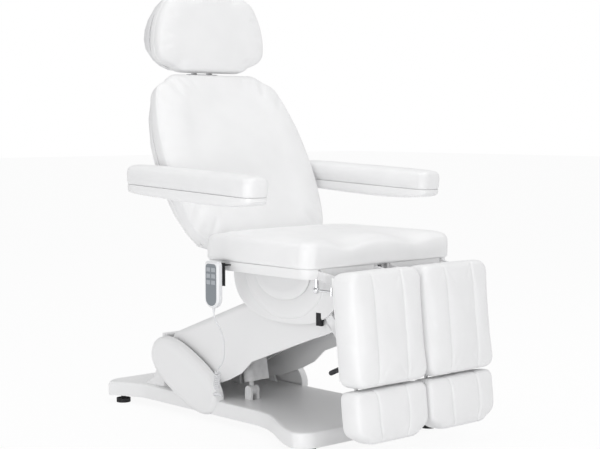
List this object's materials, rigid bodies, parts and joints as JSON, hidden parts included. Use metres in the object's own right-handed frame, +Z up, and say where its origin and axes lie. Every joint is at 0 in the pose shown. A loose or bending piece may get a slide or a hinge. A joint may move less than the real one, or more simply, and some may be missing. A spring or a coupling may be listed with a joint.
{
  "type": "podiatry_chair",
  "caption": "White podiatry chair: padded seat, reclining back, swing-up armrests and two leg rests, carried by one inclined lift arm over a wide waisted base.",
  "frame": {"origin": "on the floor, at the middle of the box round the chair", "axes": "Z up, -Y is the sitter's facing direction, +X is the sitter's left"},
  "size_m": [0.864, 1.3513, 1.4693],
  "materials": {
    "shell": "smooth white moulded plastic",
    "frame": "dark powder coat",
    "motor": "black housings",
    "steel": "plain steel",
    "rubber": "black rubber",
    "chrome": "bright chrome",
    "upholstery": "white synthetic leather, softly padded",
    "panel": "grey key panel",
    "keys": "lighter grey keys",
    "cord": "white cord sheath"
  },
  "bodies": {
    "base": {"base_cover": "shell", "base_frame": "frame", "levelling_feet": "rubber", "side_covers": "shell", "power_unit": "motor", "cover_screws": "steel", "cord_gland": "shell", "cord_tail": "cord", "curly_cord": "cord"},
    "lift_arm": {"arm_frame": "frame", "arm_cover": "shell"},
    "link": {"parallel_link": "steel"},
    "lift_drive": {"lift_motor": "motor"},
    "lift_drive_rod": {"lift_rod": "chrome"},
    "carriage": {"carriage_frame": "frame", "carriage_covers": "shell", "bump_stops": "rubber"},
    "tilt_drive": {"tilt_motor": "motor"},
    "tilt_drive_rod": {"tilt_rod": "chrome"},
    "seat": {"seat_frame": "frame", "seat_pan": "shell", "seat_cushion": "upholstery", "seat_discs": "shell", "handset_hook": "rubber", "leg_clamps": "chrome", "cord_lead": "cord"},
    "back_drive": {"back_motor": "motor"},
    "back_drive_rod": {"back_rod": "chrome"},
    "back": {"back_frame": "frame", "back_shell": "shell", "back_cushion": "upholstery"},
    "head_slide": {"head_posts": "chrome"},
    "head": {"head_shell": "shell", "head_cushion": "upholstery"},
    "armrest_left": {"armrest_shell_left": "shell", "armrest_pad_left": "upholstery"},
    "armrest_right": {"armrest_shell_right": "shell", "armrest_pad_right": "upholstery"},
    "yoke_left": {"leg_yoke_left": "steel"},
    "yoke_right": {"leg_yoke_right": "steel"},
    "leg_left": {"calf_board_left": "frame", "calf_cushion_left": "upholstery"},
    "leg_right": {"calf_board_right": "frame", "calf_cushion_right": "upholstery"},
    "foot_left": {"foot_board_left": "steel", "foot_cushion_left": "upholstery"},
    "foot_right": {"foot_board_right": "steel", "foot_cushion_right": "upholstery"},
    "lever_left": {"leg_lever_left": "rubber"},
    "lever_right": {"leg_lever_right": "rubber"},
    "screw_left": {"clamp_screw_left": "chrome"},
    "screw_right": {"clamp_screw_right": "chrome"},
    "handset": {"handset_case": "shell", "keypad": "panel"},
    "button_1": {"key_1": "keys"},
    "button_2": {"key_2": "keys"},
    "button_3": {"key_3": "keys"},
    "button_4": {"key_4": "keys"},
    "button_5": {"key_5": "keys"},
    "button_6": {"key_6": "keys"}
  },
  "joints": [
    {"name": "lift", "type": "hinge", "parent": "base", "child": "lift_arm", "pos_m": [0, 0.30622, 0.168], "axis": [-1, 0, 0], "range_deg": [0, 32]},
    {"name": "carriage_level", "type": "hinge", "parent": "lift_arm", "child": "carriage", "pos_m": [0, -0.22878, 0.43], "axis": [-1, 0, 0], "range_deg": [-32, 0]},
    {"name": "link_swing", "type": "hinge", "parent": "base", "child": "link", "pos_m": [0.062, 0.30622, 0.113], "axis": [-1, 0, 0], "range_deg": [0, 32]},
    {"name": "lift_drive_swing", "type": "hinge", "parent": "base", "child": "lift_drive", "pos_m": [-0.095, 0.05122, 0.105], "axis": [-1, 0, 0], "range_deg": [0, 16]},
    {"name": "lift_drive_stroke", "type": "slide", "parent": "lift_drive", "child": "lift_drive_rod", "axis": [0, 0.1833, 0.9831], "range_m": [0, 0.12527]},
    {"name": "seat_tilt", "type": "hinge", "parent": "carriage", "child": "seat", "pos_m": [0, 0.00622, 0.515], "axis": [-1, 0, 0], "range_deg": [0, 12]},
    {"name": "tilt_drive_swing", "type": "hinge", "parent": "carriage", "child": "tilt_drive", "pos_m": [0, -0.44178, 0.36], "axis": [-1, 0, 0], "range_deg": [0, 3.14]},
    {"name": "tilt_drive_stroke", "type": "slide", "parent": "tilt_drive", "child": "tilt_drive_rod", "axis": [0, 0, 1], "range_m": [0, 0.09301]},
    {"name": "back_recline", "type": "hinge", "parent": "seat", "child": "back", "pos_m": [0, 0.08622, 0.56], "axis": [-1, 0, 0], "range_deg": [-15, 63]},
    {"name": "back_drive_swing", "type": "hinge", "parent": "seat", "child": "back_drive", "pos_m": [0, -0.36018, 0.512], "axis": [-1, 0, 0], "range_deg": [-0.239, 0.057]},
    {"name": "back_drive_stroke", "type": "slide", "parent": "back_drive", "child": "back_drive_rod", "axis": [0, 1, 0.005], "range_m": [-0.04686, 0.01116]},
    {"name": "head_height", "type": "slide", "parent": "back", "child": "head_slide", "axis": [0, 0.4493, 0.8934], "range_m": [0, 0.1]},
    {"name": "head_tilt", "type": "hinge", "parent": "head_slide", "child": "head", "pos_m": [0, 0.43199, 1.15845], "axis": [-1, 0, 0], "range_deg": [0, 30]},
    {"name": "armrest_left_swing", "type": "hinge", "parent": "back", "child": "armrest_left", "pos_m": [0.382, 0.24552, 0.7877], "axis": [-1, 0, 0], "range_deg": [0, 90]},
    {"name": "leg_left_raise", "type": "hinge", "parent": "seat", "child": "yoke_left", "pos_m": [0.153, -0.51378, 0.535], "axis": [-1, 0, 0], "range_deg": [0, 84]},
    {"name": "leg_left_spread", "type": "hinge", "parent": "yoke_left", "child": "leg_left", "pos_m": [0.2, -0.51991, 0.48034], "axis": [0, -0.9938, 0.1115], "range_deg": [0, 20]},
    {"name": "foot_left_reach", "type": "slide", "parent": "leg_left", "child": "foot_left", "axis": [0, -0.1115, -0.9938], "range_m": [0, 0.15]},
    {"name": "lever_left_pull", "type": "hinge", "parent": "leg_left", "child": "lever_left", "pos_m": [0.246, -0.54452, 0.27883], "axis": [-1, 0, 0], "range_deg": [0, 12]},
    {"name": "screw_left_turn", "type": "hinge", "parent": "seat", "child": "screw_left", "pos_m": [0.247, -0.42478, 0.496], "axis": [0, -1, 0], "continuous": true},
    {"name": "armrest_right_swing", "type": "hinge", "parent": "back", "child": "armrest_right", "pos_m": [-0.382, 0.24552, 0.7877], "axis": [-1, 0, 0], "range_deg": [0, 90]},
    {"name": "leg_right_raise", "type": "hinge", "parent": "seat", "child": "yoke_right", "pos_m": [-0.153, -0.51378, 0.535], "axis": [-1, 0, 0], "range_deg": [0, 84]},
    {"name": "leg_right_spread", "type": "hinge", "parent": "yoke_right", "child": "leg_right", "pos_m": [-0.2, -0.51991, 0.48034], "axis": [0, 0.9938, -0.1115], "range_deg": [0, 20]},
    {"name": "foot_right_reach", "type": "slide", "parent": "leg_right", "child": "foot_right", "axis": [0, -0.1115, -0.9938], "range_m": [0, 0.15]},
    {"name": "lever_right_pull", "type": "hinge", "parent": "leg_right", "child": "lever_right", "pos_m": [-0.246, -0.54452, 0.27883], "axis": [-1, 0, 0], "range_deg": [0, 12]},
    {"name": "screw_right_turn", "type": "hinge", "parent": "seat", "child": "screw_right", "pos_m": [-0.247, -0.42478, 0.496], "axis": [0, -1, 0], "continuous": true},
    {"name": "handset_lift", "type": "slide", "parent": "seat", "child": "handset", "axis": [0, 0, 1], "range_m": [0, 0.05]},
    {"name": "button_1_press", "type": "slide", "parent": "handset", "child": "button_1", "axis": [1, 0, 0], "range_m": [0, 0.0006], "stiffness_N_per_m": 250},
    {"name": "button_2_press", "type": "slide", "parent": "handset", "child": "button_2", "axis": [1, 0, 0], "range_m": [0, 0.0006], "stiffness_N_per_m": 250},
    {"name": "button_3_press", "type": "slide", "parent": "handset", "child": "button_3", "axis": [1, 0, 0], "range_m": [0, 0.0006], "stiffness_N_per_m": 250},
    {"name": "button_4_press", "type": "slide", "parent": "handset", "child": "button_4", "axis": [1, 0, 0], "range_m": [0, 0.0006], "stiffness_N_per_m": 250},
    {"name": "button_5_press", "type": "slide", "parent": "handset", "child": "button_5", "axis": [1, 0, 0], "range_m": [0, 0.0006], "stiffness_N_per_m": 250},
    {"name": "button_6_press", "type": "slide", "parent": "handset", "child": "button_6", "axis": [1, 0, 0], "range_m": [0, 0.0006], "stiffness_N_per_m": 250}
  ],
  "couplings": [
    {"joint": "carriage_level", "follows": "lift", "ratio": -1},
    {"joint": "link_swing", "follows": "lift", "ratio": 1},
    {"joint": "lift_drive_swing", "follows": "lift", "ratio": 0.5},
    {"joint": "lift_drive_stroke", "follows": "lift", "m_per_rad": 0.22429},
    {"joint": "tilt_drive_swing", "follows": "seat_tilt", "ratio": 0.26142},
    {"joint": "tilt_drive_stroke", "follows": "seat_tilt", "m_per_rad": 0.44407},
    {"joint": "back_drive_swing", "follows": "back_recline", "ratio": -0.00379},
    {"joint": "back_drive_stroke", "follows": "back_recline", "m_per_rad": -0.04262}
  ]
}
